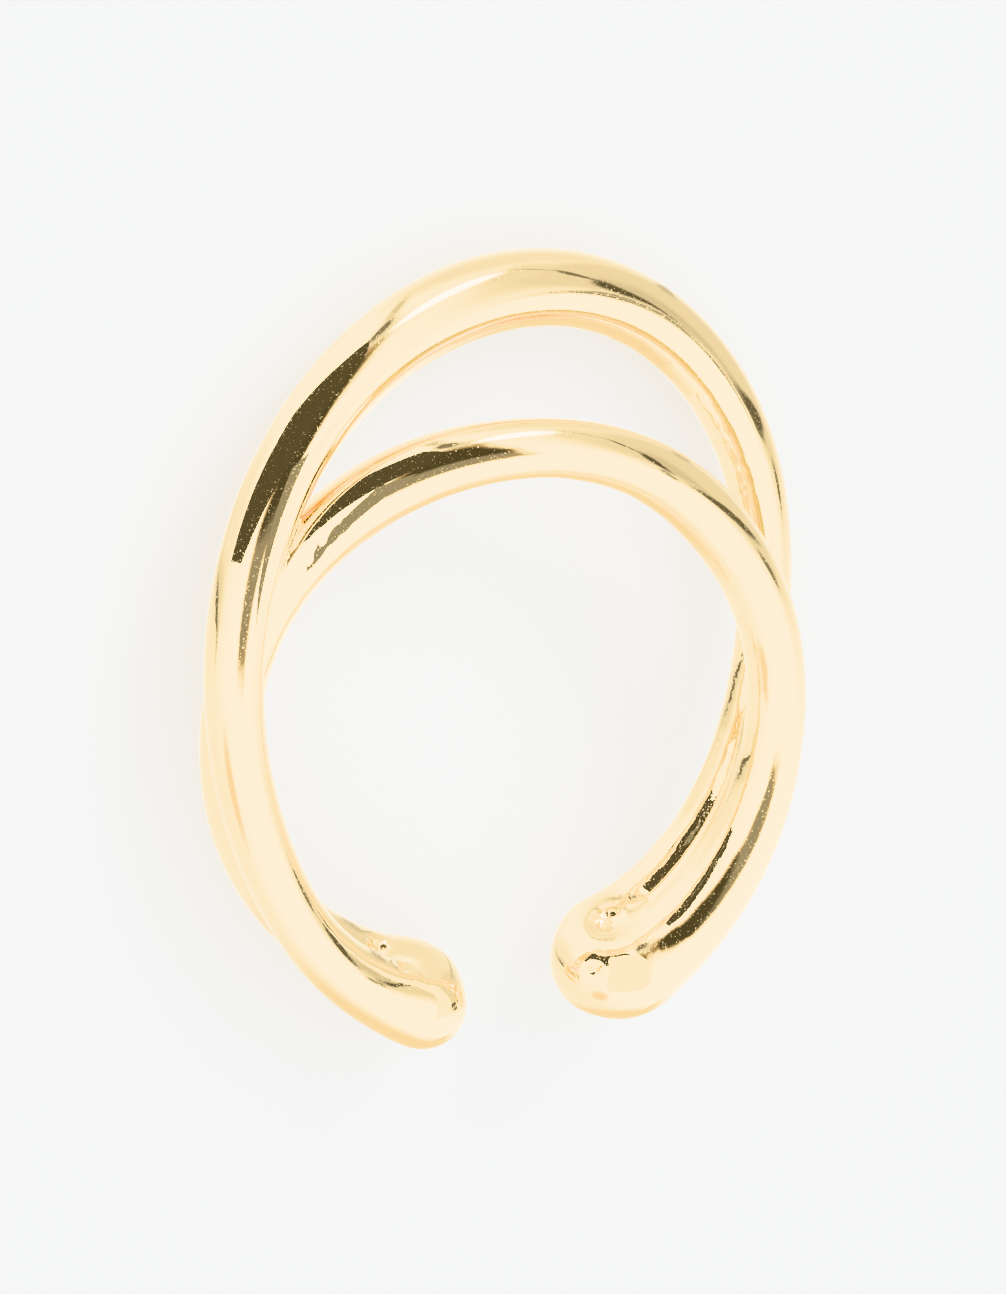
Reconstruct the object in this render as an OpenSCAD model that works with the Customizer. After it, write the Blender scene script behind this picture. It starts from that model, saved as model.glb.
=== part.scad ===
// Adjustable open ring: two round bars that cross at the shoulders and merge at both tips.
// The ring is worked out with its finger hole upright, then leaned to the way it lies on a table.

/* [Finger] */
// Inside diameter, the finger size
finger_d = 17.3; // [16:0.1:20]
// Angle round the finger from the middle of the top to the bars' ends in the left tip
left_tip = 161; // [158:1:164]
// Angle round the finger from the middle of the top to the bars' ends in the right tip
right_tip = 158; // [155:1:161]

/* [Bars] */
// Thickness of the large bar at its top
large_d = 2.6; // [2.2:0.05:2.9]
// Thickness of the small bar where it hugs the finger
small_d = 2; // [1.7:0.05:2.2]
// How far the large bar's top stands out from the finger
rise = 3.8; // [2.5:0.1:4.5]
// How far the large bar's top is set back from the ring's middle plane
set_back = 2.8; // [2:0.1:3.2]

/* [Web] */
// Thickness of the web between the bars where it starts, as part of a bar's thickness
web_start = 0.5; // [0.4:0.05:0.6]
// Thickness of the web just before the tips, as part of a bar's thickness
web_end = 0.7; // [0.6:0.05:0.8]
// Angle round the finger where the web starts on the left, where the bars cross
web_left = 62; // [58:1:70]
// Angle round the finger where the web starts on the right, where the bars meet
web_right = 102; // [98:1:112]

/* [Tips] */
// How far the middle of the left tip bulges past the ends of the bars
left_bulge = 0.2; // [0.1:0.05:0.4]
// How far the middle of the right tip bulges past the ends of the bars
right_bulge = 0.8; // [0.6:0.05:0.9]
// Thickness of the tips' middle, as part of the two bars' mean thickness
bulge_part = 1.1; // [1:0.05:1.15]

/* [Smoothness] */
// Number of straight steps along each bar
steps = 65; // [48:1:72]
// Number of sides round each bar
sides = 24; // [20:2:26]

/* [Hidden] */

finger_r = finger_d / 2;

// Each bar has a row every 27 degrees round the finger, from the left over the top to the right.
// The bar runs smoothly past the rows, as a cubic spline, and ends at the tips, close to its last rows.
row_step = 27;
// Columns: lift, how far its inner face stands out from the finger, as part of the rise
//          level, its centre's height over the middle plane, as part of the set-back
//          thick, as part of the bar's own thickness
LIFT = 0;
LEVEL = 1;
THICK = 2;
large_rows = [
    [0.04, 0.19, 1.09],
    [0.08, 0.34, 0.69],
    [-0.03, 0.37, 0.74],
    [0.16, 0.34, 0.73],
    [0.49, 0.05, 0.81],
    [0.83, -0.51, 0.88],
    [1.00, -1.00, 1.06],
    [1.05, -1.23, 0.91],
    [0.67, -0.94, 0.77],
    [0.21, -0.67, 0.65],
    [0.00, -0.39, 0.69],
    [0.03, -0.31, 0.78],
    [-0.09, -0.19, 0.88],
];
small_rows = [
    [-0.04, -0.39, 0.96],
    [0.00, -0.35, 0.96],
    [0.02, -0.32, 0.95],
    [0.00, -0.37, 0.95],
    [0.01, -0.34, 1.05],
    [0.03, -0.01, 1.16],
    [0.03, 0.36, 0.94],
    [-0.06, 0.37, 1.00],
    [-0.18, 0.26, 1.10],
    [-0.05, 0.22, 0.95],
    [0.01, 0.27, 1.00],
    [0.05, 0.44, 1.22],
    [0.06, 0.58, 1.37],
];

// The spline needs one more row past each end, in line with the last two.
function extended(rows) = let (n = len(rows)) concat(
    [2 * rows[0] - rows[1]],
    rows,
    [2 * rows[n - 1] - rows[n - 2]]
);

// Weights of the four rows round a place that is t of the way from the second to the third
function spline_weights(t) = [
    pow(1 - t, 3) / 6,
    (3 * pow(t, 3) - 6 * pow(t, 2) + 4) / 6,
    (-3 * pow(t, 3) + 3 * pow(t, 2) + 3 * t + 1) / 6,
    pow(t, 3) / 6,
];

// The row at an angle round the finger, 0 at the top and positive to the right
function row_at(rows, angle) = let (
    all = extended(rows),
    place = angle / row_step + (len(rows) - 1) / 2,
    first = max(0, min(floor(place), len(rows) - 2))
) spline_weights(place - first) * [for (i = [0:3]) all[first + i]];

function bar_r(rows, full_d, angle) = row_at(rows, angle)[THICK] * full_d / 2;

function bar_centre(rows, full_d, angle) = let (
    row = row_at(rows, angle),
    out = finger_r + row[LIFT] * rise + row[THICK] * full_d / 2
) [out * sin(angle), out * cos(angle), row[LEVEL] * set_back];

function unit(v) = v / norm(v);

// The bar's direction, from two places a little before and after
probe = 0.5;
function bar_direction(rows, full_d, angle) =
    unit(bar_centre(rows, full_d, angle + probe) - bar_centre(rows, full_d, angle - probe));

// One ring of points round a bar, at an angle round the finger
function station_points(rows, full_d, angle) = let (
    r = bar_r(rows, full_d, angle),
    along = bar_direction(rows, full_d, angle),
    outward = [sin(angle), cos(angle), 0],
    across = unit(outward - (outward * along) * along),
    level = cross(along, across)
) [for (j = [0:sides - 1]) let (turn = j * 360 / sides)
    bar_centre(rows, full_d, angle) + r * (cos(turn) * across + sin(turn) * level)];

// Where a bar ends, as an angle, with side -1 for the left and 1 for the right
function tip_angle(side) = side < 0 ? left_tip : right_tip;

// A bar from tip to tip. Its flat ends lie inside the balls of the tips.
module bar(rows, full_d) {
    rings = [for (i = [0:steps]) let (angle = (left_tip + right_tip) * i / steps - left_tip)
        station_points(rows, full_d, angle)];
    ends = [for (side = [-1, 1]) bar_centre(rows, full_d, side * tip_angle(side))];
    last = steps * sides;
    left = last + sides;
    right = left + 1;
    polyhedron(
        points = concat([for (points = rings) each points], ends),
        faces = concat(
            [for (i = [0:steps - 1], j = [0:sides - 1]) let (
                a = i * sides + j,
                b = i * sides + (j + 1) % sides
            ) each [[a, b + sides, b], [a, a + sides, b + sides]]],
            [for (j = [0:sides - 1]) [left, j, (j + 1) % sides]],
            [for (j = [0:sides - 1]) [right, last + (j + 1) % sides, last + j]]
        )
    );
}

// Number of sides round each ball
ball_sides = 24;

// A ball on a bar's centre line, as part of the bar's thickness
module ball(rows, full_d, angle, part) {
    translate(bar_centre(rows, full_d, angle))
        sphere(r = part * bar_r(rows, full_d, angle), $fn = ball_sides);
}

// The ball that rounds the tip off between the ends of the bars
module tip_ball(side) {
    angle = side * tip_angle(side);
    bulge = side < 0 ? left_bulge : right_bulge;
    middle = (bar_centre(large_rows, large_d, angle) + bar_centre(small_rows, small_d, angle)) / 2;
    mean_r = (bar_r(large_rows, large_d, angle) + bar_r(small_rows, small_d, angle)) / 2;
    translate(middle + side * bulge * bar_direction(small_rows, small_d, angle))
        sphere(r = bulge_part * mean_r, $fn = ball_sides);
}

// The web joins the two bars down one side, from start to the tip, where it fills the groove.
// web_step is about how far apart its balls are, as an angle. The last ones, at the tip, are a little
// thicker than the bars, so that they cover their ends.
web_step = 9;
tip_part = 1.02;
module web(side, start) {
    count = ceil((tip_angle(side) - start) / web_step);
    function part(i) = i == count ? tip_part : web_start + (web_end - web_start) * i / (count - 1);
    for (i = [0:count - 1]) {
        hull() {
            for (k = [i, i + 1]) {
                angle = side * (start + (tip_angle(side) - start) * k / count);
                ball(large_rows, large_d, angle, part(k));
                ball(small_rows, small_d, angle, part(k));
            }
            if (i == count - 1) tip_ball(side);
        }
    }
}

// Lying down, the ring leans until it rests on the large bar's top and on the underside of its left tip.
lean_back = 4.6;
lean_side = -4.3;
// Moves the middle of the leaning ring's box over the origin, with its lowest point at the height 0
rest_shift = [-0.12, -2.04, 3.01];

module ring() {
    color([0.97, 0.87, 0.62])
    translate(rest_shift)
    rotate([lean_back, lean_side, 0])
    union() {
        bar(large_rows, large_d);
        bar(small_rows, small_d);
        web(-1, web_left);
        web(1, web_right);
    }
}

ring();
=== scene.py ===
import math

import bpy
import numpy as np
from mathutils import Matrix, Vector, noise


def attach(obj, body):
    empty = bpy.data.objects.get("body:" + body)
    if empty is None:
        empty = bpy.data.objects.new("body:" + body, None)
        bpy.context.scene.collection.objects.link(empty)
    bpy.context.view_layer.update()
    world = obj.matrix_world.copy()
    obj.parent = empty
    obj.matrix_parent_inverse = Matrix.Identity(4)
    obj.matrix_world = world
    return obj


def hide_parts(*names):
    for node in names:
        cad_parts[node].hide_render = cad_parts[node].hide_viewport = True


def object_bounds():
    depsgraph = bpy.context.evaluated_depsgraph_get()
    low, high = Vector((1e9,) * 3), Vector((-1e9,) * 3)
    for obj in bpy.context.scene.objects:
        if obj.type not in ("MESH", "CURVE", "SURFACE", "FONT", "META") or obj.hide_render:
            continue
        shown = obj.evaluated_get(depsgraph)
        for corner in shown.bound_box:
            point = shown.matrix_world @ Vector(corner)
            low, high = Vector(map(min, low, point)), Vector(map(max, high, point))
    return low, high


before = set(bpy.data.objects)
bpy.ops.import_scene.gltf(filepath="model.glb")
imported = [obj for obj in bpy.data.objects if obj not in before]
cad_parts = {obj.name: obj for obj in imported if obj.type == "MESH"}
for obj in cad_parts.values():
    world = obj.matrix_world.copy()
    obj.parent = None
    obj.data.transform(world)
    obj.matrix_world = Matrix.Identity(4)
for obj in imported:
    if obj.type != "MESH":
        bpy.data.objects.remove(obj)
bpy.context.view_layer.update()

MM = 0.001
# The ring's sizes in millimetres and degrees, as in the CAD source. They are in the ring's own frame, with
# the finger hole upright: x to the right, y to the ring's top and z along the finger, towards the photo's
# camera. An angle turns from the top to the right. A side is -1 for the left and 1 for the right.
FINGER_R = 8.65
TIP = {-1: 161, 1: 158}
RISE = 3.8
SET_BACK = 2.8
LARGE_D = 2.6
SMALL_D = 2.0
# Degrees between the rows of the bars
ROW_STEP = 27
# Columns: lift, how far the bar's inner face stands out from the finger, as part of the rise
#          level, its centre's height over the middle plane, as part of the set-back
#          thick, as part of the bar's own thickness
LARGE_ROWS = [
    (0.04, 0.19, 1.09), (0.08, 0.34, 0.69), (-0.03, 0.37, 0.74), (0.16, 0.34, 0.73), (0.49, 0.05, 0.81),
    (0.83, -0.51, 0.88), (1.00, -1.00, 1.06), (1.05, -1.23, 0.91), (0.67, -0.94, 0.77), (0.21, -0.67, 0.65),
    (0.00, -0.39, 0.69), (0.03, -0.31, 0.78), (-0.09, -0.19, 0.88),
]
SMALL_ROWS = [
    (-0.04, -0.39, 0.96), (0.00, -0.35, 0.96), (0.02, -0.32, 0.95), (0.00, -0.37, 0.95), (0.01, -0.34, 1.05),
    (0.03, -0.01, 1.16), (0.03, 0.36, 0.94), (-0.06, 0.37, 1.00), (-0.18, 0.26, 1.10), (-0.05, 0.22, 0.95),
    (0.01, 0.27, 1.00), (0.05, 0.44, 1.22), (0.06, 0.58, 1.37),
]
# Where the web between the bars begins, and its thickness as part of theirs: there, just before the tip and
# in the tip's bend
WEB_BEGIN = {-1: 62, 1: 102}
WEB_START, WEB_END, TIP_FILL = 0.5, 0.7, 0.95
# How far the bend in each tip bulges past the ends of the bars, and its thickness as part of theirs
BULGE = {-1: 0.2, 1: 0.8}
BULGE_PART = 1.1
# How the ring leans and shifts to lie on its side
LEAN_BACK, LEAN_SIDE = 4.6, -4.3
REST_SHIFT = np.array([-0.12, -2.04, 3.01])
LEAN = np.array(
    Matrix.Rotation(math.radians(LEAN_SIDE), 3, "Y") @ Matrix.Rotation(math.radians(LEAN_BACK), 3, "X")
)

# Keeps a divisor above zero
TINY = 1e-12


def to_row(points):
    """From the ring's own frame in millimetres to the row frame in metres"""
    return (np.asarray(points) @ LEAN.T + REST_SHIFT) * MM


def to_ring(points):
    """The way back"""
    return (np.asarray(points) / MM - REST_SHIFT) @ LEAN


def unit(v):
    return v / np.linalg.norm(v)


class Bar:
    """A round bar along a cubic spline round the finger. Past its ends it bends to the tips' middles."""

    # Degrees between the places in the bar's table, and degrees past an end that its bend takes up
    STEP = 0.05
    BEND = 10
    # The search for the nearest place, from coarse to fine: how far it goes to each side, and its step
    SEARCH = ((20, 2), (2, 0.4), (0.4, 0.05))

    def __init__(self, rows, full_d):
        rows = np.array(rows)
        self.rows = np.vstack([2 * rows[0] - rows[1], rows, 2 * rows[-1] - rows[-2]])
        self.full_d = full_d

    def spline(self, angle):
        """Centre and radius at each angle"""
        spans = len(self.rows) - 3
        place = angle / ROW_STEP + spans / 2
        first = np.clip(np.floor(place), 0, spans - 1).astype(int)
        t = place - first
        weights = (
            (1 - t) ** 3 / 6,
            (3 * t**3 - 6 * t**2 + 4) / 6,
            (-3 * t**3 + 3 * t**2 + 3 * t + 1) / 6,
            t**3 / 6,
        )
        lift, level, thick = sum(w * self.rows[first + i].T for i, w in enumerate(weights))
        r = thick * self.full_d / 2
        out = FINGER_R + lift * RISE + r
        turn = np.radians(angle)
        return np.stack([out * np.sin(turn), out * np.cos(turn), level * SET_BACK], -1), r

    def at(self, angle):
        """The same with the bends, which take up the last degrees"""
        centre, r = self.spline(np.clip(angle, -TIP[-1], TIP[1]))
        for side, (middle, way, middle_r) in self.tips.items():
            end, end_r = self.spline(np.array(side * TIP[side]))
            over = np.clip(side * angle - TIP[side], 0, self.BEND) / self.BEND
            bend = np.radians(90 * over)
            along = (end - middle) * np.cos(bend)[..., None] + BULGE[side] * way * np.sin(bend)[..., None]
            centre = np.where(over[..., None] > 0, middle + along, centre)
            r = np.where(over > 0, end_r * np.cos(bend) ** 2 + middle_r * np.sin(bend) ** 2, r)
        return centre, r

    def close(self, tips):
        """Takes the tips' middles and makes the table of places along the bar"""
        self.tips = tips
        self.low, self.high = -TIP[-1] - self.BEND, TIP[1] + self.BEND
        self.angles = np.arange(self.low, self.high + self.STEP / 2, self.STEP)
        self.table, self.table_r = self.at(self.angles)

    def gap(self, points, places):
        """How far each point lies outside the bar's round section at each of its places in the table"""
        return np.linalg.norm(points[:, None] - self.table[places], axis=2) - self.table_r[places]

    def distance(self, points, turn):
        """How far points lie outside the bar, and the direction away from it"""
        last = len(self.angles) - 1
        at = np.clip(np.rint((turn - self.low) / self.STEP).astype(int), 0, last)
        for reach, step in self.SEARCH:
            jumps = np.rint(np.arange(-reach, reach + step / 2, step) / self.STEP).astype(int)
            tries = np.clip(at[:, None] + jumps, 0, last)
            at = tries[np.arange(len(at)), self.gap(points, tries).argmin(1)]
        # The lowest point of the parabola through the best place and its two neighbours
        far = self.gap(points, np.clip(at[:, None] + np.array([-1, 0, 1]), 0, last))
        bend = far[:, 0] - 2 * far[:, 1] + far[:, 2]
        shift = np.where(bend > TINY, 0.5 * (far[:, 0] - far[:, 2]) / np.maximum(bend, TINY), 0)
        angle = self.angles[at] + np.clip(shift, -1, 1) * self.STEP
        centre, r = self.at(np.clip(angle, self.low, self.high))
        away = points - centre
        far = np.linalg.norm(away, axis=1)
        return far - r, away / far[:, None]


large = Bar(LARGE_ROWS, LARGE_D)
small = Bar(SMALL_ROWS, SMALL_D)


def tip_middle(side):
    """Where the bars meet past their ends: a place between the ends, the way that it bulges, and a radius"""
    (a, a_r), (b, b_r) = (bar.spline(np.array(side * TIP[side])) for bar in (large, small))
    # The small bar's own way over its last degree
    before, _ = small.spline(np.array(side * (TIP[side] - 1.0)))
    return (a + b) / 2, unit(b - before), BULGE_PART * (a_r + b_r) / 2


TIP_MIDDLE = {side: tip_middle(side) for side in TIP}
large.close(TIP_MIDDLE)
small.close(TIP_MIDDLE)


def rod_distance(points, a, a_r, b, b_r):
    """How far points lie outside a rod between two balls, and the direction away from it"""
    along = b - a
    part = ((points - a) * along).sum(1) / np.maximum((along * along).sum(-1), TINY)
    part = np.clip(part, 0, 1)[:, None]
    away = points - a - part * along
    far = np.linalg.norm(away, axis=1)
    return far - (a_r + part[:, 0] * (b_r - a_r)), away / far[:, None]


# Degrees in which a web grows from nothing, and in which it fills up at the tip
WEB_GROWS = 12
# Degrees before the tip's end in which a web may follow the bend
WEB_BENDS = 20


def web_distance(points, turn, side):
    """The same for the web that joins the bars down one side and fills the bend of the tip"""
    begin, tip = WEB_BEGIN[side], TIP[side]
    stops = [begin - WEB_GROWS, begin, tip - WEB_GROWS, tip]
    angle = np.clip(side * turn, stops[0], tip)
    part = np.interp(angle, stops, [0, WEB_START, WEB_END, TIP_FILL])
    middle, way, _ = TIP_MIDDLE[side]
    ahead = np.clip((points - middle) @ way / BULGE[side], 0, 1)
    over = Bar.BEND * np.degrees(np.arcsin(ahead)) / 90
    angle = np.where((angle > tip - WEB_BENDS) & (over > 0), tip + over, angle)
    a, a_r = large.at(side * angle)
    b, b_r = small.at(side * angle)
    return rod_distance(points, a, part * a_r, b, part * b_r)


def blended(first, second, width):
    """Two distances merged with a fillet about width wide, and the direction away from both"""
    (a, a_way), (b, b_way) = first, second
    near = np.maximum(width - np.abs(a - b), 0) / width
    share = np.where(a < b, near**3 / 2, 1 - near**3 / 2)[:, None]
    return np.minimum(a, b) - near**3 * width / 6, (1 - share) * a_way + share * b_way


# Widths of the fillet between the bars, of what is left of it at the tips, and of the webs' fillets
BAR_FILLET, FADED_FILLET, WEB_FILLET = 0.3, 0.02, 0.5
# Degrees before a tip's end between which the bars' fillet fades, because the web fills the tip
FADE_STARTS, FADE_ENDS = 15, 5


def ring_distance(points):
    """How far points lie outside the ring, and the direction away from it"""
    turn = np.degrees(np.arctan2(points[:, 0], points[:, 1]))
    stops = [-TIP[-1] + FADE_ENDS, -TIP[-1] + FADE_STARTS, TIP[1] - FADE_STARTS, TIP[1] - FADE_ENDS]
    width = np.interp(turn, stops, [FADED_FILLET, BAR_FILLET, BAR_FILLET, FADED_FILLET])
    whole = blended(large.distance(points, turn), small.distance(points, turn), width)
    for side in TIP:
        whole = blended(whole, web_distance(points, turn, side), WEB_FILLET)
    return whole


# How squarely the surface faces the finger where the inside begins, and how much more where it is whole
INSIDE_BEGINS, INSIDE_GROWS = 0.4, 0.4


def inside_share(points, way):
    """1 where the surface faces the finger, falling to 0 at the sides"""
    outward = points * (1, 1, 0)
    facing = -(way * outward).sum(1) / np.linalg.norm(outward, axis=1)
    return np.clip((facing - INSIDE_BEGINS) / INSIDE_GROWS, 0, 1)


def noise_at(points, per_mm):
    """Smooth noise about zero at each point"""
    return np.array([noise.noise(Vector(v)) for v in points * per_mm])


# The casting's waves, as waves per mm and their height: long ones everywhere, short ones on the inside
LONG_WAVES = (0.45, 0.008)
SHORT_WAVES = (1.3, 0.012)


def cast_waves(points, inside):
    """How far the waves stand out: faint on the polished outside, stronger on the inside"""
    (long_per_mm, long_height), (short_per_mm, short_height) = LONG_WAVES, SHORT_WAVES
    long_waves = noise_at(points, long_per_mm)
    short_waves = noise_at(points, short_per_mm)
    return long_height * long_waves + short_height * inside * short_waves


# Dimples that the casting leaves in the tips, with crinkled floors
# Columns: place, radius, depth
DIMPLES = [
    ((3.45, -8.0, 0.6), 0.42, 0.28),
    ((2.3, -8.9, 1.9), 0.3, 0.08),
    ((-4.55, -7.6, -0.3), 0.35, 0.35),
    ((-4.3, -7.8, 1.0), 0.25, 0.15),
    ((-3.4, -8.2, 1.05), 0.3, 0.05),
]
# Patches beside the crossings that polishing doesn't reach, so that the casting stays crinkled
# Columns: place, radius, height of the crinkles
ROUGH_PATCHES = [
    ((-6.3, 8.0, 0.6), 0.3, 0.02),
    ((-6.9, 7.5, 0.4), 0.4, 0.035),
    ((-7.5, 6.9, 0.25), 0.35, 0.03),
    ((-7.9, 6.2, 0.1), 0.3, 0.02),
    ((8.1, 8.9, -2.24), 0.5, 0.03),
    ((8.7, 7.7, -2.2), 0.5, 0.035),
    ((9.2, 6.5, -2.0), 0.5, 0.035),
    ((9.5, 5.6, -1.8), 0.4, 0.03),
]
# A patch fades like a bell curve, and is cut off at this many of its radii
PATCH_REACH = 2.5


def patches(points, rows, per_mm, plain, crinkled):
    """How far round patches stand out: a plain share of each, and a share that is crinkled"""
    height = np.zeros(len(points))
    for place, radius, tallest in rows:
        far = np.linalg.norm(points - place, axis=1) / radius
        close = np.nonzero(far < PATCH_REACH)[0]
        shape = plain + crinkled * noise_at(points[close], per_mm)
        height[close] += tallest * np.exp(-far[close] ** 2) * shape
    return height


def cast_relief(points, inside):
    """How far the cast surface stands out from the ring's plain shape"""
    dimples = patches(points, DIMPLES, per_mm=5, plain=1, crinkled=0.8)
    rough = patches(points, ROUGH_PATCHES, per_mm=3, plain=0, crinkled=1)
    return cast_waves(points, inside) + rough - dimples


# The mesh's fineness in millimetres
VOXEL = 0.107
# Rounds of drawing the mesh onto the ring's surface. All but the last ones smooth it too.
ROUNDS, LAST_ROUNDS = 6, 2
# Rounds of smoothing that the left and right tips get
TIP_POLISH = {-1: 70, 1: 79}
# Degrees before a tip's end where the polish begins, and in which it grows to its full strength
POLISH_BEGINS, POLISH_GROWS = 12, 10


def voxel_mesh(node):
    """The CAD node's mesh in the ring's own frame, remeshed in even squares"""
    source = bpy.data.meshes.new("source")
    corners = np.array([v.co for v in node.data.vertices])
    source.from_pydata(to_ring(corners).tolist(), [], [list(p.vertices) for p in node.data.polygons])
    remeshed = bpy.data.objects.new("remeshed", source)
    bpy.context.scene.collection.objects.link(remeshed)
    modifier = remeshed.modifiers.new("voxels", "REMESH")
    modifier.mode = "VOXEL"
    modifier.voxel_size = VOXEL
    depsgraph = bpy.context.evaluated_depsgraph_get()
    mesh = bpy.data.meshes.new_from_object(remeshed.evaluated_get(depsgraph))
    bpy.data.objects.remove(remeshed)
    bpy.data.meshes.remove(source)
    return mesh


def smoother(mesh):
    """The function that smooths places given for the mesh's points"""
    edges = np.empty(len(mesh.edges) * 2, int)
    mesh.edges.foreach_get("vertices", edges)
    edges = edges.reshape(-1, 2)
    ends, others = np.concatenate([edges, edges[:, ::-1]]).T
    count = np.bincount(ends, minlength=len(mesh.vertices))[:, None]

    def smoothed(places, share=1.0):
        """Each place moved halfway to the mean of its neighbours, or a share of that way"""
        sums = [np.bincount(ends, places[others, k], len(places)) for k in range(3)]
        return places + 0.5 * share * (np.stack(sums, 1) / count - places)

    return smoothed


def tip_polished(points, way, smoothed):
    """The points with tips that are polished rounder than the rest, and keep their thickness"""
    for side, turns in TIP_POLISH.items():
        beyond = side * np.degrees(np.arctan2(points[:, 0], points[:, 1])) - TIP[side]
        share = np.clip((beyond + POLISH_BEGINS) / POLISH_GROWS, 0, 1)[:, None]
        polished = points
        for _ in range(turns):
            polished = smoothed(polished, share)
        loss = ((points - polished) * way).sum(1)[beyond > 0].mean()
        points = polished + loss * share * way
    return points


def smooth_skin(node):
    """A fine mesh of the CAD node, drawn onto the ring's smooth surface"""
    mesh = voxel_mesh(node)
    smoothed = smoother(mesh)
    points = np.empty(len(mesh.vertices) * 3)
    mesh.vertices.foreach_get("co", points)
    points = points.reshape(-1, 3)
    for i in range(ROUNDS):
        far, way = ring_distance(points)
        points = points - far[:, None] * way / (way * way).sum(1)[:, None]
        if i < ROUNDS - LAST_ROUNDS:
            points = smoothed(points)
    points = tip_polished(points, way, smoothed)
    inside = inside_share(points, way)
    points = points + cast_relief(points, inside)[:, None] * way
    mesh.attributes.new("inside", "FLOAT", "POINT").data.foreach_set("value", inside.astype(np.float32))
    mesh.vertices.foreach_set("co", to_row(points).astype(np.float32).ravel())
    mesh.polygons.foreach_set("use_smooth", [True] * len(mesh.polygons))
    mesh.update()
    return mesh


def make_skin():
    """The ring as it shows: smooth, over the faceted solid"""
    skin = bpy.data.objects.new("ring_skin", smooth_skin(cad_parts["ring"]))
    bpy.context.scene.collection.objects.link(skin)
    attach(skin, "root")
    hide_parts("ring")
    skin.data.materials.append(gold_material())


# The camera, at the photo's angle and about its distance in millimetres
AZIMUTH, ELEVATION, ROLL = math.radians(-25.96), math.radians(22.87), math.radians(0.216)
DISTANCE = 400
# How far the photo's middle lies to the right of and above the middle of the finger hole
MIDDLE_RIGHT, MIDDLE_UP = -0.165, 2.207
# The camera's own sizes in millimetres
SENSOR_HEIGHT, LENS = 36, 339.3


def laid(v):
    """A direction or place seen upright, x to the right, y away and z up, turned as the ring lies"""
    return LEAN @ np.array([v[0], v[2], -v[1]])


back = np.array([
    math.sin(AZIMUTH) * math.cos(ELEVATION),
    -math.cos(AZIMUTH) * math.cos(ELEVATION),
    math.sin(ELEVATION),
])
level_right = np.array([math.cos(AZIMUTH), math.sin(AZIMUTH), 0])
level_up = np.cross(back, level_right)
right = math.cos(ROLL) * level_right + math.sin(ROLL) * level_up
up = -math.sin(ROLL) * level_right + math.cos(ROLL) * level_up
eye = DISTANCE * back + MIDDLE_RIGHT * right + MIDDLE_UP * up
BACK, RIGHT, UP = (Vector(laid(v)) for v in (back, right, up))


def make_camera():
    data = bpy.data.cameras.new("camera")
    data.sensor_fit = "VERTICAL"
    data.sensor_height = SENSOR_HEIGHT
    data.lens = LENS
    data.clip_start = 0.01
    camera = bpy.data.objects.new("camera", data)
    place = Matrix.Translation(Vector((laid(eye) + REST_SHIFT) * MM))
    camera.matrix_world = place @ Matrix((RIGHT, UP, BACK)).transposed().to_4x4()
    bpy.context.scene.collection.objects.link(camera)
    bpy.context.scene.camera = camera


class Nodes:
    """Short calls for building a node tree"""

    def __init__(self, tree):
        self.tree = tree

    def add(self, kind, **settings):
        node = self.tree.nodes.new(kind)
        for name, value in settings.items():
            setattr(node, name, value)
        return node

    def put(self, value, socket):
        """Links another node's output, or sets a number or colour"""
        if isinstance(value, bpy.types.NodeSocket):
            self.tree.links.new(value, socket)
        else:
            socket.default_value = value

    def math(self, operation, *values):
        node = self.add("ShaderNodeMath", operation=operation)
        for value, socket in zip(values, node.inputs):
            self.put(value, socket)
        return node.outputs[0]

    def dot(self, vector, way):
        node = self.add("ShaderNodeVectorMath", operation="DOT_PRODUCT")
        self.put(vector, node.inputs[0])
        self.put(way, node.inputs[1])
        return node.outputs["Value"]

    def length(self, a, b):
        """The length of the arrow (a, b)"""
        pair = self.add("ShaderNodeCombineXYZ")
        self.put(a, pair.inputs[0])
        self.put(b, pair.inputs[1])
        node = self.add("ShaderNodeVectorMath", operation="LENGTH")
        self.put(pair.outputs[0], node.inputs[0])
        return node.outputs["Value"]

    def noise(self, place, scale, detail):
        node = self.add("ShaderNodeTexNoise")
        self.put(place, node.inputs["Vector"])
        node.inputs["Scale"].default_value = scale
        node.inputs["Detail"].default_value = detail
        return node.outputs["Fac"]

    def mix(self, share, a, b, blend="MIX"):
        node = self.add("ShaderNodeMix", data_type="RGBA", blend_type=blend)
        # This node has other sockets for numbers and vectors before those for its two colours and their mix
        self.put(share, node.inputs[0])
        self.put(a, node.inputs[6])
        self.put(b, node.inputs[7])
        return node.outputs[2]

    def mix_shaders(self, share, a, b):
        node = self.add("ShaderNodeMixShader")
        for value, socket in zip((share, a, b), node.inputs):
            self.put(value, socket)
        return node.outputs[0]

    def ramp(self, value, low, high, a=0.0, b=1.0):
        node = self.add("ShaderNodeMapRange", interpolation_type="SMOOTHSTEP")
        self.put(value, node.inputs["Value"])
        for name, number in (("From Min", low), ("From Max", high), ("To Min", a), ("To Max", b)):
            node.inputs[name].default_value = number
        return node.outputs["Result"]


def rgba(colour):
    """A colour for a socket. A single number is a grey."""
    if isinstance(colour, (int, float)):
        colour = (colour, colour, colour)
    return (*colour, 1)


# The studio that the ring mirrors. Places in it are degrees to the right and up from the photo's
# camera, as on a map of the whole sphere with the camera in its middle.
# The brightness where nothing hangs
PLAIN = 3.0
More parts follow.
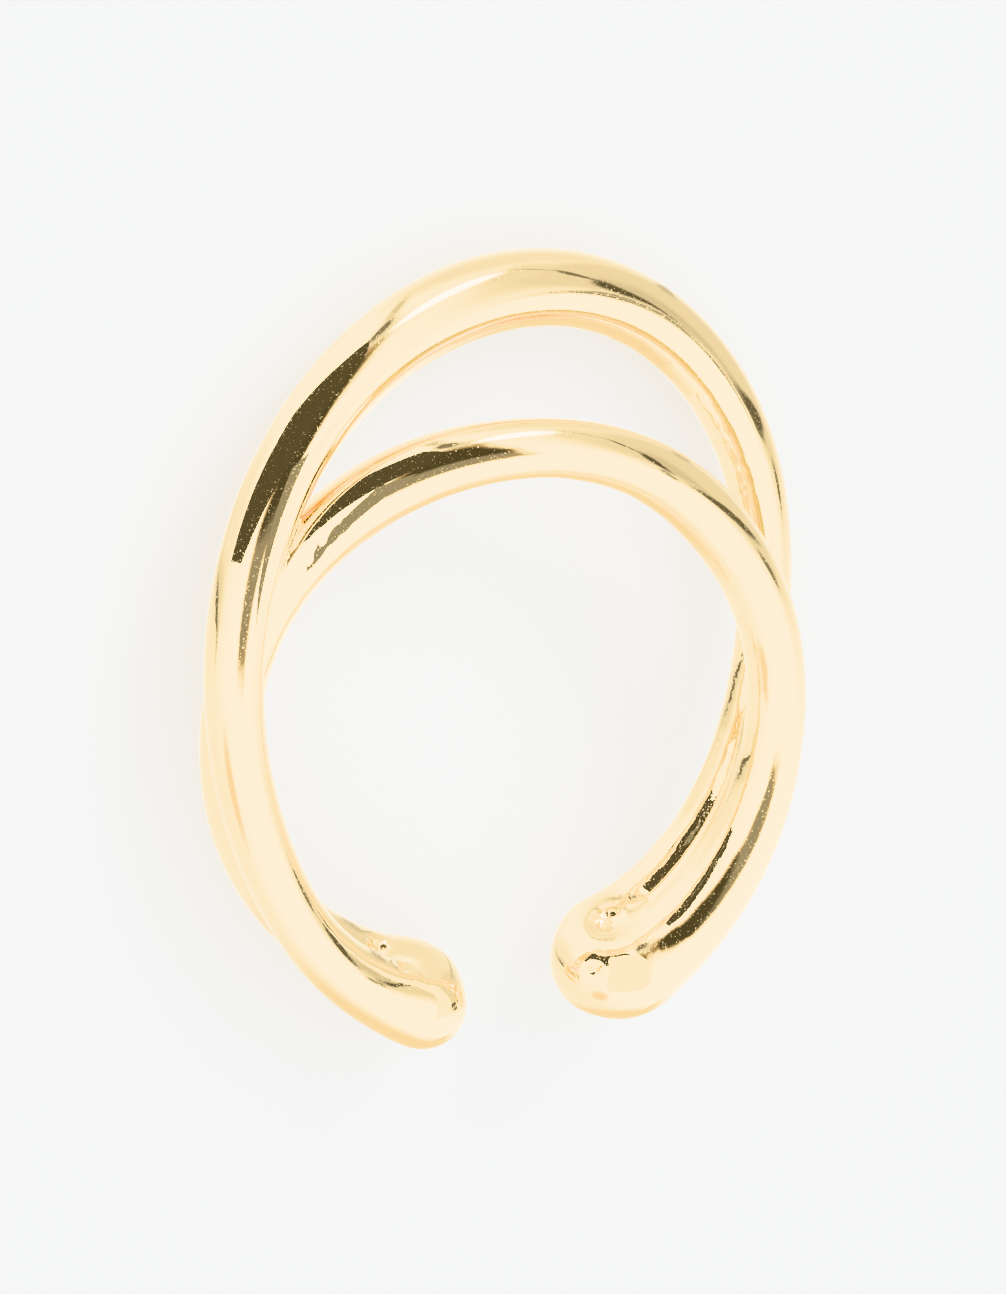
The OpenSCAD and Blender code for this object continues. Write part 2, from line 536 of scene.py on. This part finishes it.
# Oval panels, each painted over the ones before
# Columns: right, up, half width, half height, turn, soft part of the edge, colour
PANELS = [
    (60, -60, 130, 70, -35, 0.9, 6.0),
    (-45, 72, 66, 46, 20, 0.9, 5.0),
    (-100, 30, 30, 40, 0, 0.9, 2.2),
    (20, 108, 60, 22, -5, 0.9, 1.5),
    (90, 40, 42, 62, 8, 0.5, 1.0),
    (50, 58, 9, 24, 12, 0.9, 1.15),
    (-42, -54, 14, 14, 0, 0.9, (2.6, 2.1, 1.3)),
    (66, -107, 30, 7, 22, 0.9, (2.0, 1.7, 1.3)),
    (0, -135, 120, 35, 0, 0.9, (1.9, 1.65, 1.2)),
    (-102, 14, 40, 8, -27, 1.2, 1.0),
    (-76, -10, 6, 9, 0, 0.9, 1.0),
    (-95, 4, 25, 3.5, -36, 1.0, 0.25),
    (-123, 46, 24, 3.5, -78, 1.0, 0.6),
    (98, 100, 6, 22, 0, 0.9, 0.7),
    (96, 126, 9, 5, 0, 0.9, 0.15),
    (12, 46, 18, 7, 115, 0.8, 1.1),
    (29, 57, 14, 9, 30, 0.6, 25.0),
    (-12, 84, 24, 4, 122, 1.2, 0.8),
    (1, 61, 11, 5, 115, 1.0, 0.3),
    (82, 16, 26, 7, -84, 1.4, 0.75),
    (54, 60, 13, 1.0, -44, 1.2, 0.55),
    (68, 40, 14, 1.5, -66, 1.0, 0.25),
    (75, 14, 16, 2.4, -88, 1.0, 0.16),
    (71, -12, 9, 2.2, -106, 1.0, 0.4),
    (86, 16, 27, 1.0, -63, 1.2, 0.75),
    (102, -10, 10, 4, 40, 1.0, 0.3),
    (87, -7, 30, 1.4, 15, 1.0, 0.8),
    (95, 1, 24, 4.5, 38, 0.8, 0.2),
]
# Straight-edged flags over the panels, with corners in clockwise order
# Columns: corners, soft degrees of the edge, colour
FLAGS = [
    ([(4, 46), (20, 42), (38, 4), (44, -24), (38, -30), (12, -28), (-2, 4)], 8, (0.6, 0.5, 0.38)),
    ([(8, 40), (19, 34), (35, 4), (37, -10), (24, -12), (4, 0)], 5, 0.12),
    ([(8, -2), (34, -6), (40, -18), (32, -26), (12, -24)], 8, 0.4),
]
# Keep the map's arc cosine and its division within bounds straight ahead and straight behind
NEARLY_ONE, LEAST_FLAT = 0.9999, 0.01
# What is mirrored twice gets cooler light, because the gold tints it twice
COOLER = (1.0, 1.1, 1.35)
# Plain light on the floor
FLOOR_LIGHT = 1.3


def studio_place(n):
    """Each direction's place on the studio's map: its degrees to the right and up, and a 1"""
    way = n.add("ShaderNodeTexCoord").outputs["Generated"]
    ahead = n.dot(way, BACK)
    capped = n.math("MAXIMUM", n.math("MINIMUM", ahead, NEARLY_ONE), -NEARLY_ONE)
    angle = n.math("DEGREES", n.math("ARCCOSINE", capped))
    flat = n.math("SQRT", n.math("SUBTRACT", 1.0, n.math("MULTIPLY", ahead, ahead)))
    stretch = n.math("DIVIDE", angle, n.math("MAXIMUM", flat, LEAST_FLAT))
    place = n.add("ShaderNodeCombineXYZ")
    n.put(n.math("MULTIPLY", n.dot(way, RIGHT), stretch), place.inputs[0])
    n.put(n.math("MULTIPLY", n.dot(way, UP), stretch), place.inputs[1])
    place.inputs[2].default_value = 1.0
    return place.outputs[0]


def painted_studio(n):
    """The panels and flags, painted over each other"""
    place = studio_place(n)

    def linear(x_part, y_part, cx, cy):
        """x_part * (x - cx) + y_part * (y - cy)"""
        return n.dot(place, (x_part, y_part, -x_part * cx - y_part * cy))

    studio = rgba(PLAIN)
    for cx, cy, half_w, half_h, turn, soft, colour in PANELS:
        cos, sin = math.cos(math.radians(turn)), math.sin(math.radians(turn))
        across = linear(cos / half_w, sin / half_w, cx, cy)
        along = linear(-sin / half_h, cos / half_h, cx, cy)
        share = n.ramp(n.length(across, along), 1 - soft / 2, 1 + soft / 2, 1, 0)
        studio = n.mix(share, studio, rgba(colour))
    for corners, soft, colour in FLAGS:
        inside = None
        for (ax, ay), (bx, by) in zip(corners, corners[1:] + corners[:1]):
            length = math.hypot(bx - ax, by - ay)
            depth = linear((by - ay) / length, (ax - bx) / length, ax, ay)
            inside = depth if inside is None else n.math("MINIMUM", inside, depth)
        studio = n.mix(n.ramp(inside, -soft / 2, soft / 2), studio, rgba(colour))
    return studio


def background(n, colour, strength=1.0):
    node = n.add("ShaderNodeBackground")
    n.put(colour, node.inputs["Color"])
    node.inputs["Strength"].default_value = strength
    return node.outputs[0]


def studio_world():
    """Only what the ring mirrors straight to the camera shows the studio. The floor gets plain light."""
    world = bpy.data.worlds.new("studio")
    world.use_nodes = True
    tree = world.node_tree
    tree.nodes.clear()
    n = Nodes(tree)
    paths = n.add("ShaderNodeLightPath").outputs
    # A world counts one ray more than a mesh does, so its second reflection has a depth of 3
    twice = n.math("GREATER_THAN", paths["Ray Depth"], 2.5)
    studio = n.mix(twice, painted_studio(n), rgba(COOLER), "MULTIPLY")
    straight = n.math("LESS_THAN", paths["Diffuse Depth"], 0.5)
    mirrored = n.math("MULTIPLY", paths["Is Glossy Ray"], straight)
    light = n.mix_shaders(mirrored, background(n, rgba(1.0), FLOOR_LIGHT), background(n, studio))
    n.put(light, n.add("ShaderNodeOutputWorld").inputs["Surface"])
    bpy.context.scene.world = world


def direction(x, y):
    """The direction of a place in the studio, as the ring lies"""
    angle = math.radians(math.hypot(x, y))
    spread = math.sin(angle) / math.hypot(x, y)
    return BACK * math.cos(angle) + (RIGHT * x + UP * y) * spread


# Flat cards that hang near the ring, as a photographer's cards do, and show only in the first reflection
# Columns: name, the place that they are aimed from in the ring's own frame, how many mm away they are,
# the direction of their middle, their corners as directions from that place, brightness
NEAR_CARDS = [
    (
        "dark_card", large.at(np.array(-34.3))[0], 16, (-20, 38),
        [(-68, 2), (-48, 57), (-10, 62), (6, 64), (16, 50), (24, 34), (18, 12), (-30, -8)], 0.14,
    ),
    (
        "grey_card", (-6.2, 8.2, 0.7), 4, (12, -28),
        [(4, 21), (34, 17), (31, -18), (23, -46), (15, -66), (10, -70), (-4, -48), (-4, -24)], 0.4,
    ),
    (
        "bright_card", (3.0, -8.8, 2.4), 2.5, (18, 5),
        [(-30, -42), (-30, 54), (14, 54), (30, 38), (48, 20), (50, -42)], 3.0,
    ),
]


def card_material(name, brightness):
    """Light of one brightness, and clear past the first reflection"""
    material = bpy.data.materials.new(name)
    material.use_nodes = True
    tree = material.node_tree
    tree.nodes.clear()
    n = Nodes(tree)
    light = n.add("ShaderNodeEmission")
    light.inputs["Color"].default_value = rgba(brightness)
    clear = n.add("ShaderNodeBsdfTransparent")
    later = n.math("GREATER_THAN", n.add("ShaderNodeLightPath").outputs["Ray Depth"], 1.5)
    shown = n.mix_shaders(later, light.outputs[0], clear.outputs[0])
    n.put(shown, n.add("ShaderNodeOutputMaterial").inputs["Surface"])
    return material


def near_card(name, place, distance, middle, corners, brightness):
    origin = Vector(to_row(place))
    facing = direction(*middle)
    outer = [origin + direction(*c) * (distance * MM / direction(*c).dot(facing)) for c in corners]
    mesh = bpy.data.meshes.new(name)
    mesh.from_pydata(outer, [], [range(len(outer))])
    mesh.materials.append(card_material(name, brightness))
    card = bpy.data.objects.new(name, mesh)
    card.visible_camera = False
    card.visible_diffuse = False
    card.visible_shadow = False
    bpy.context.scene.collection.objects.link(card)


def gold_material():
    material = bpy.data.materials.new("polished_gold_plate")
    material.use_nodes = True
    tree = material.node_tree
    n = Nodes(tree)
    shader = tree.nodes["Principled BSDF"]
    shader.inputs["Metallic"].default_value = 1.0
    place = n.add("ShaderNodeTexCoord").outputs["Object"]
    # Polishing leaves the plate a little uneven in tone, with fine matt specks
    cloud = n.noise(place, scale=400, detail=3)
    specks = n.noise(place, scale=18000, detail=0)
    n.put(n.mix(cloud, rgba((1.0, 0.775, 0.415)), rgba((1.0, 0.795, 0.445))), shader.inputs["Base Color"])
    n.put(n.ramp(specks, 0.69, 0.76, a=0.02, b=0.3), shader.inputs["Roughness"])
    # The inside keeps the fine dents of the casting
    dents = n.add("ShaderNodeBump")
    dents.inputs["Distance"].default_value = 0.008 * MM
    n.put(n.add("ShaderNodeAttribute", attribute_name="inside").outputs["Fac"], dents.inputs["Strength"])
    n.put(n.noise(place, scale=2600, detail=2), dents.inputs["Height"])
    n.put(dents.outputs["Normal"], shader.inputs["Normal"])
    return material


def floor_material():
    """A light table, so that shadows on it stay pale"""
    material = bpy.data.materials.new("pale_floor")
    material.use_nodes = True
    inputs = material.node_tree.nodes["Principled BSDF"].inputs
    inputs["Base Color"].default_value = rgba(0.45)
    inputs["Emission Color"].default_value = rgba((0.96, 0.98, 1.0))
    inputs["Emission Strength"].default_value = 0.65
    inputs["Roughness"].default_value = 0.9
    inputs["Specular IOR Level"].default_value = 0.1
    return material


def make_floor(half=2.0):
    """A square under the ring, which the metal doesn't mirror"""
    corners = [(-half, -half, 0), (half, -half, 0), (half, half, 0), (-half, half, 0)]
    mesh = bpy.data.meshes.new("floor")
    mesh.from_pydata(corners, [], [(0, 1, 2, 3)])
    floor = bpy.data.objects.new("floor", mesh)
    floor.location.z = min(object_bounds()[0][2], 0)
    floor.data.materials.append(floor_material())
    floor.visible_glossy = False
    bpy.context.scene.collection.objects.link(floor)


def make_softbox(distance=0.6, size=0.25, energy=2.0):
    """A soft light from the upper right, for the shadow on the floor"""
    light = bpy.data.lights.new("softbox", "AREA")
    light.shape = "DISK"
    light.size = size
    light.energy = energy
    softbox = bpy.data.objects.new("softbox", light)
    way = (BACK * 0.5 + RIGHT * 0.6 + UP * 0.45).normalized()
    softbox.location = way * distance
    softbox.rotation_euler = way.to_track_quat("Z", "Y").to_euler()
    softbox.visible_glossy = False
    bpy.context.scene.collection.objects.link(softbox)


make_skin()
make_camera()
make_floor()
studio_world()
for row in NEAR_CARDS:
    near_card(*row)
make_softbox()
# The tones of this view transform keep the gold as pale as in the photo
bpy.context.scene.view_settings.view_transform = "Khronos PBR Neutral"
